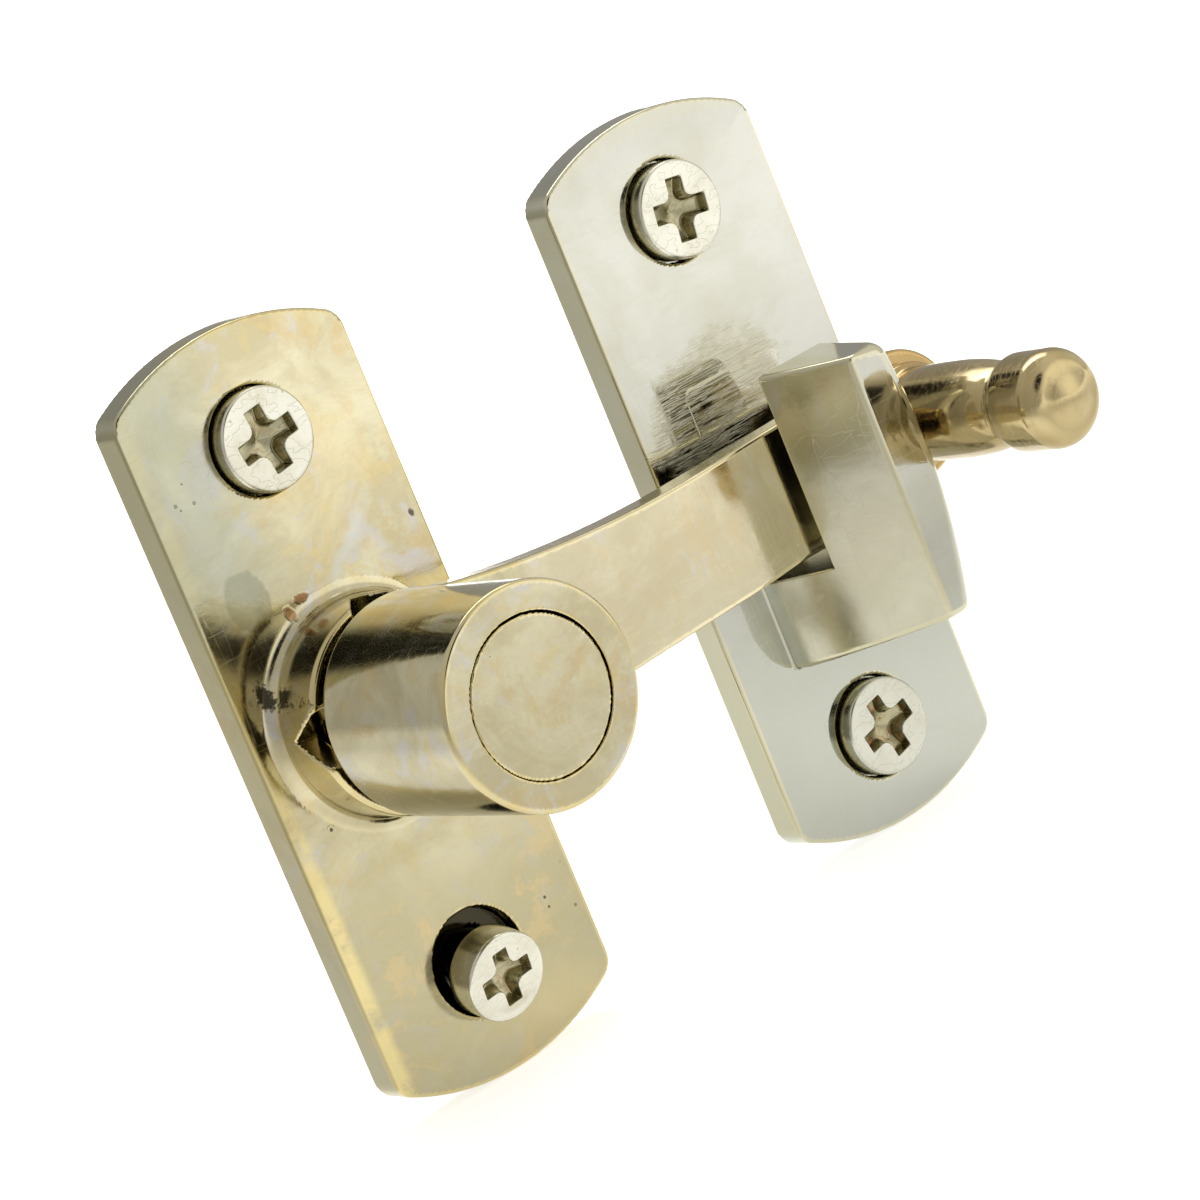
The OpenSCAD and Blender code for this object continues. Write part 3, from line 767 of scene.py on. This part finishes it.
def plated_steel(name, centre, seed, dirt=0.4):
    """Nickelled screw: a smooth face with a few stamped marks, olive in its recess and on its rim."""
    k = Mat(name)
    base = k.mapped(loc=(seed * 5.1, seed * 2.7, seed * 9.3))
    soft = k.noise(0.35, 5, 0.55, 0.4, base)
    col = k.mix(k.step(soft, 0.35, 0.7), srgb(226, 225, 214), srgb(215, 213, 197))
    if name.endswith("lower_keep") or "lower_keep" in name:
        col = k.mix(0.6, col, srgb(176, 177, 166))
    edge = k.attr("edge")
    depth = k.xyz()[1]
    v = k.mapped(loc=(-centre[0], 0, -centre[1]))
    v = k.mapped(scale=(1, 0, 1), vec=v)
    n = k.node("ShaderNodeVectorMath", operation="LENGTH")
    k.put(n.inputs[0], v)
    rad = n.outputs["Value"]
    deep = k.step(depth, -3.95 - (1.1 if "lower_pivot" in name else 0.0), -3.5 - (1.1 if "lower_pivot" in name else 0.0))
    inner = k.math("MULTIPLY", k.step(rad, 2.7, 2.2), deep)
    rim = k.math("MULTIPLY", k.step(rad, 3.0, 3.35), deep)
    col = k.mix(k.math("MULTIPLY", inner, 0.7), col, srgb(160, 152, 108))
    col = k.mix(k.math("MULTIPLY", rim, 0.6), col, srgb(176, 168, 122))
    if "lower_pivot" in name:
        # painted shade: the lower pivot screw's neck, bared in front of the plate, is painted near-black where it sits
        # in the dark gap of its hole
        below = k.math("ADD", k.math("MULTIPLY", depth, -0.9703), k.math("MULTIPLY", k.xyz()[2], -0.2419))
        shank = k.math("MULTIPLY", k.step(below, 7.74, 7.5), k.step(depth, 0.6, 0.1))
        col = k.mix(shank, col, srgb(42, 39, 30))
    rust = k.step(k.noise(1.3, 5, 0.6, 0.4, base), 0.5, 0.66)
    col = k.mix(k.math("MULTIPLY", k.math("MULTIPLY", inner, rust), dirt), col, srgb(156, 96, 44))
    col = k.mix(k.math("MULTIPLY", k.step(edge, -0.4, -1.6), 0.45), col, srgb(128, 118, 80))
    mark = scratches(k, 0.55, (1.3, 1, 2.2), (0, 30, 0), 0.007, seed)
    col = k.mix(k.math("MULTIPLY", mark, 0.22), col, srgb(160, 154, 130))
    c = k.cells(0.8, base)
    dot = k.step(c["Distance"], 0.1, 0.03)
    col = k.mix(k.math("MULTIPLY", dot, 0.5), col, srgb(120, 112, 84))
    rough = k.math("ADD", 0.2, k.math("MULTIPLY", k.step(soft, 0.4, 0.7), 0.08))
    height = k.math("ADD", k.math("MULTIPLY", soft, 1.0), k.math("MULTIPLY", k.noise(9, 3, 0.5, 0, base), 0.03))
    height = k.math("SUBTRACT", height, k.math("MULTIPLY", mark, 0.9))
    height = k.math("SUBTRACT", height, k.math("MULTIPLY", dot, 1.0))
    return k.finish(col, 1.0, rough, height, 7e-6)


def spring_steel(name):
    k = Mat(name)
    soft = k.noise(0.8, 5, 0.6)
    col = k.mix(soft, srgb(168, 166, 158), srgb(132, 128, 116))
    lines = k.noise(6.0, 3, 0.6)
    return k.finish(col, 1.0, k.math("ADD", 0.25, k.math("MULTIPLY", soft, 0.15)), lines, 4e-6)


# ---------------------------------------------------------------- pieces

m_plate = aged_nickel("aged_nickel_plate", 1, plate_marks)
m_arm = aged_nickel("aged_nickel_arm", 4, arm_marks, brass_end=True)
m_pin = aged_nickel("aged_nickel_pin", 7)
m_keep = bright_nickel("bright_nickel_keep")
m_brass = turned_brass("turned_brass_knob")
m_steel = spring_steel("drawn_steel")


def use(ob, material, body, node):
    ob.data.materials.clear()
    ob.data.materials.append(material)
    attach(ob, body)
    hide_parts(node)
    return ob


use(
    carve("pivot_plate_worn", pivot_plate, (-9.5, -26.8, 0), (9.5, 26.8, 7.6), 0.2),
    m_plate, "pivot_unit", "pivot_plate",
)
use(
    carve("pivot_pin_riveted", pivot_pin, (-5.3, -5.3, 0), (5.3, 5.3, 23.1), 0.16),
    m_pin, "pivot_unit", "pivot_pin",
)
use(
    carve("arm_worn", arm, (-7.4, -7.4, 4.8), (50.3, 7.4, 23.1), 0.17),
    m_arm, "arm", "arm",
)
use(
    carve("keep_worn", keep, (27.5, -26.8, 0), (46.5, 26.8, 15.2), 0.2),
    m_keep, "keep", "keep",
)


def smooth_profile(points, n):
    """Points along a line that runs smoothly through the given ones."""
    p = np.array(points, float)
    d = np.r_[0, np.cumsum(np.sqrt(np.linalg.norm(np.diff(p, axis=0), axis=1)))]
    out = []
    for i in range(len(p) - 1):
        p0, p1, p2, p3 = p[max(i - 1, 0)], p[i], p[i + 1], p[min(i + 2, len(p) - 1)]
        for t in np.linspace(0, 1, n, endpoint=False):
            out.append(
                0.5 * (2 * p1 + (p2 - p0) * t + (2 * p0 - 5 * p1 + 4 * p2 - p3) * t * t
                       + (3 * p1 - p0 - 3 * p2 + p3) * t ** 3)
            )
    out.append(p[-1])
    return [tuple(q) for q in out]


knob_profile = (
    [(2.18, 5.2), (1.5, 5.88), (1.5, 7.86), (3.45, 7.86)]
    + [(3.45 + 0.28 * math.sin(a), 8.14 - 0.28 * math.cos(a)) for a in np.linspace(0.2, 1.57, 6)]
    + [(3.73, 8.5), (3.73, 8.85)]
    + [(3.45 + 0.28 * math.cos(a), 8.95 + 0.28 * math.sin(a)) for a in np.linspace(0, 1.2, 5)]
    + [(3.42, 9.36), (3.3, 9.5)]
    + smooth_profile([(3.29, 9.7), (3.36, 11.6), (3.39, 13.6), (3.36, 15.6), (3.2, 17.4), (2.95, 18.7), (2.72, 19.45)], 7)
    + [(2.68, 19.7), (2.68, 19.92), (2.74, 20.06), (2.9, 20.22), (3.12, 20.42), (3.3, 20.62), (3.41, 20.86), (3.44, 21.1)]
    + [(3.44, 22.0), (3.43, 23.0)]
    + [(1.84 + 1.6 * math.cos(a), 23.9 + 1.6 * math.sin(a)) for a in np.linspace(0, 1.42, 14)]
    + [(1.6, 25.72), (1.1, 25.93), (0.6, 26.08), (0.2, 26.16)]
)
knob = lathe("pull_knob_turned", knob_profile, (45.6, 0.0), 144)
use(knob, m_brass, "arm", "pull_knob")


def turn(rot_z=0.0, tilt_x=0.0, offset=(0, 0, 0), lift=0.0):
    """Rotation in the face-on frame: spin about z, raise by lift, lean about x, then move."""
    a, b = math.radians(rot_z), math.radians(tilt_x)
    Rz = np.array([[math.cos(a), -math.sin(a), 0], [math.sin(a), math.cos(a), 0], [0, 0, 1]])
    Rx = np.array([[1, 0, 0], [0, math.cos(b), -math.sin(b)], [0, math.sin(b), math.cos(b)]])
    return Rx @ Rz, Rx @ np.array([0, 0, lift]) + np.array(offset, float)


for name, dia, place, centre, dirt in (
    ("upper_pivot_plate_screw", 7.0, turn(8, 0, (0, PIVOT_SCREW_Y, 1.72)), (0, PIVOT_SCREW_Y), 0.2),
    ("lower_pivot_plate_screw", 6.2, turn(4, 14, (0, -PIVOT_SCREW_Y, 0.9), 2.2), (0, -PIVOT_SCREW_Y - 1.0), 0.3),
    ("upper_keep_screw", 6.9, turn(-8, 0, (37, KEEP_SCREW_Y, 1.72)), (37, KEEP_SCREW_Y), 0.25),
    ("lower_keep_screw", 6.9, turn(13, 0, (37, -KEEP_SCREW_Y, 1.72)), (37, -KEEP_SCREW_Y), 0.9),
):
    body = "keep" if "keep" in name else "pivot_unit"
    screw = carve(name + "_threaded", screw_shape(dia, 1.3 if "lower_pivot" in name else 0.0), (-3.6, -3.6, -16), (3.6, 3.6, 2.4), 0.13, place)
    use(screw, plated_steel("nickelled_" + name, centre, len(name) + dia, dirt), body, name)

for name in ("coil_spring", "thrust_washer"):
    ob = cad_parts[name]
    ob.data.materials.clear()
    ob.data.materials.append(m_steel)

# ---------------------------------------------------------------- studio

lo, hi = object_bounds()
floor_z = lo.z - 0.0001
mesh = bpy.data.meshes.new("floor")
s = 6.0
mesh.from_pydata([(-s, -s, floor_z), (s, -s, floor_z), (s, s, floor_z), (-s, s, floor_z)], [], [(0, 1, 2, 3)])
floor = bpy.data.objects.new("floor", mesh)
bpy.context.scene.collection.objects.link(floor)
fm = Mat("pale_floor")
fx, fy, _ = fm.xyz()


def pool(x, y, rx, ry, value):
    """A soft pool of light from below, as on a light table, centred at x, y in millimetres."""
    v = fm.mapped(loc=(-x, -y, 0))
    v = fm.mapped(scale=(1 / rx, 1 / ry, 0), vec=v)
    n = fm.node("ShaderNodeVectorMath", operation="LENGTH")
    fm.put(n.inputs[0], v)
    return fm.math("MULTIPLY", fm.step(n.outputs["Value"], 1.0, 0.15), value)


floor_colour = fm.mix(fm.noise(0.004, 3, 0.5), (0.88, 0.875, 0.86), (0.90, 0.895, 0.88))
floor.data.materials.append(fm.finish(floor_colour, 0.0, 0.9))
# painted light: the floor glows where the camera sees it behind the object, along a lane off to the right and in a pool
# further right
behind = fm.math(
    "SUBTRACT",
    fm.math("ADD", fm.math("MULTIPLY", fx, 0.843), fm.math("MULTIPLY", fy, -0.538)),
    18.0,
)
ahead = fm.math("ADD", fm.math("MULTIPLY", fx, 0.538), fm.math("MULTIPLY", fy, 0.843))
reach = fm.math("MULTIPLY", fm.math("ADD", ahead, 300.0), 0.24)
inside = fm.step(fm.math("SUBTRACT", fm.math("ABSOLUTE", behind), reach), 60.0, -40.0)
inside = fm.math("MULTIPLY", inside, fm.step(ahead, -130.0, -30.0))
glow = fm.math("MULTIPLY", inside, 0.63)
out = fm.math("ADD", fm.math("MULTIPLY", fx, 0.53), fm.math("MULTIPLY", fy, -0.848))
across = fm.math("ABSOLUTE", fm.math("ADD", fm.math("MULTIPLY", fx, 0.848), fm.math("MULTIPLY", fy, 0.53)))
lane = fm.step(fm.math("SUBTRACT", across, fm.math("MULTIPLY", out, 0.5)), 260.0, 40.0)
lane = fm.math("MULTIPLY", lane, fm.step(out, 50.0, 330.0))
glow = fm.math("MAXIMUM", glow, fm.math("MULTIPLY", lane, 0.72))
glow = fm.math("MAXIMUM", glow, pool(430, -80, 330, 250, 0.5))
fm.put(fm.b.inputs["Emission Strength"], glow)
fm.b.inputs["Emission Color"].default_value = (1.0, 0.995, 0.98, 1.0)

world = bpy.data.worlds.new("studio")
bpy.context.scene.world = world
world.use_nodes = True
wt = world.node_tree
bg = wt.nodes["Background"]
tc = wt.nodes.new("ShaderNodeTexCoord")


def wmath(op, a, b=None):
    n = wt.nodes.new("ShaderNodeMath")
    n.operation = op
    for i, v in enumerate((a, b)):
        if isinstance(v, bpy.types.NodeSocket):
            wt.links.new(v, n.inputs[i])
        elif v is not None:
            n.inputs[i].default_value = v
    return n.outputs[0]


def wdot(direction):
    n = wt.nodes.new("ShaderNodeVectorMath")
    n.operation = "DOT_PRODUCT"
    wt.links.new(tc.outputs["Generated"], n.inputs[0])
    n.inputs[1].default_value = Vector(direction).normalized()
    return n.outputs["Value"]


def wrange(v, a, b, lo, hi):
    n = wt.nodes.new("ShaderNodeMapRange")
    n.interpolation_type = "SMOOTHSTEP"
    wt.links.new(v, n.inputs["Value"])
    n.inputs["From Min"].default_value = a
    n.inputs["From Max"].default_value = b
    n.inputs["To Min"].default_value = lo
    n.inputs["To Max"].default_value = hi
    return n.outputs[0]


# a pale tent: cream, a little brighter above and to the right, with a dark opening beside the camera and shade behind
light = wrange(wdot((0, 0, 1)), -0.1, 1.0, 0.47, 0.62)
side = wrange(wdot((0.9, -0.4, 0.1)), 0.0, 0.9, 0.0, 0.3)
front = wrange(wdot((0.56, -0.83, 0.02)), 0.78, 0.97, 0.0, 0.55)
dark = wrange(wdot((-0.12, -0.84, 0.53)), 0.945, 0.985, 1.0, 0.03)
shade = wrange(wdot((0.5, 0.8, 0.34)), 0.6, 0.95, 1.0, 0.68)
mul = wmath("MULTIPLY", wmath("MULTIPLY", wmath("ADD", wmath("ADD", light, side), front), dark), shade)
wt.links.new(mul, bg.inputs["Strength"])
bg.inputs["Color"].default_value = (1.0, 0.972, 0.885, 1.0)


def softbox(name, where, aim, size, power, spread):
    d = bpy.data.lights.new(name, "AREA")
    d.shape = "RECTANGLE"
    d.size, d.size_y = size
    d.energy = power
    d.spread = math.radians(spread)
    o = bpy.data.objects.new(name, d)
    bpy.context.scene.collection.objects.link(o)
    o.location = where
    o.rotation_mode = "QUATERNION"
    o.rotation_quaternion = (Vector(aim) - Vector(where)).to_track_quat("-Z", "Y")
    return o


softbox("softbox_back", (0.45, 0.5, 0.75), (0.4, 0.42, 0), (0.8, 0.8), 2.2, 80)
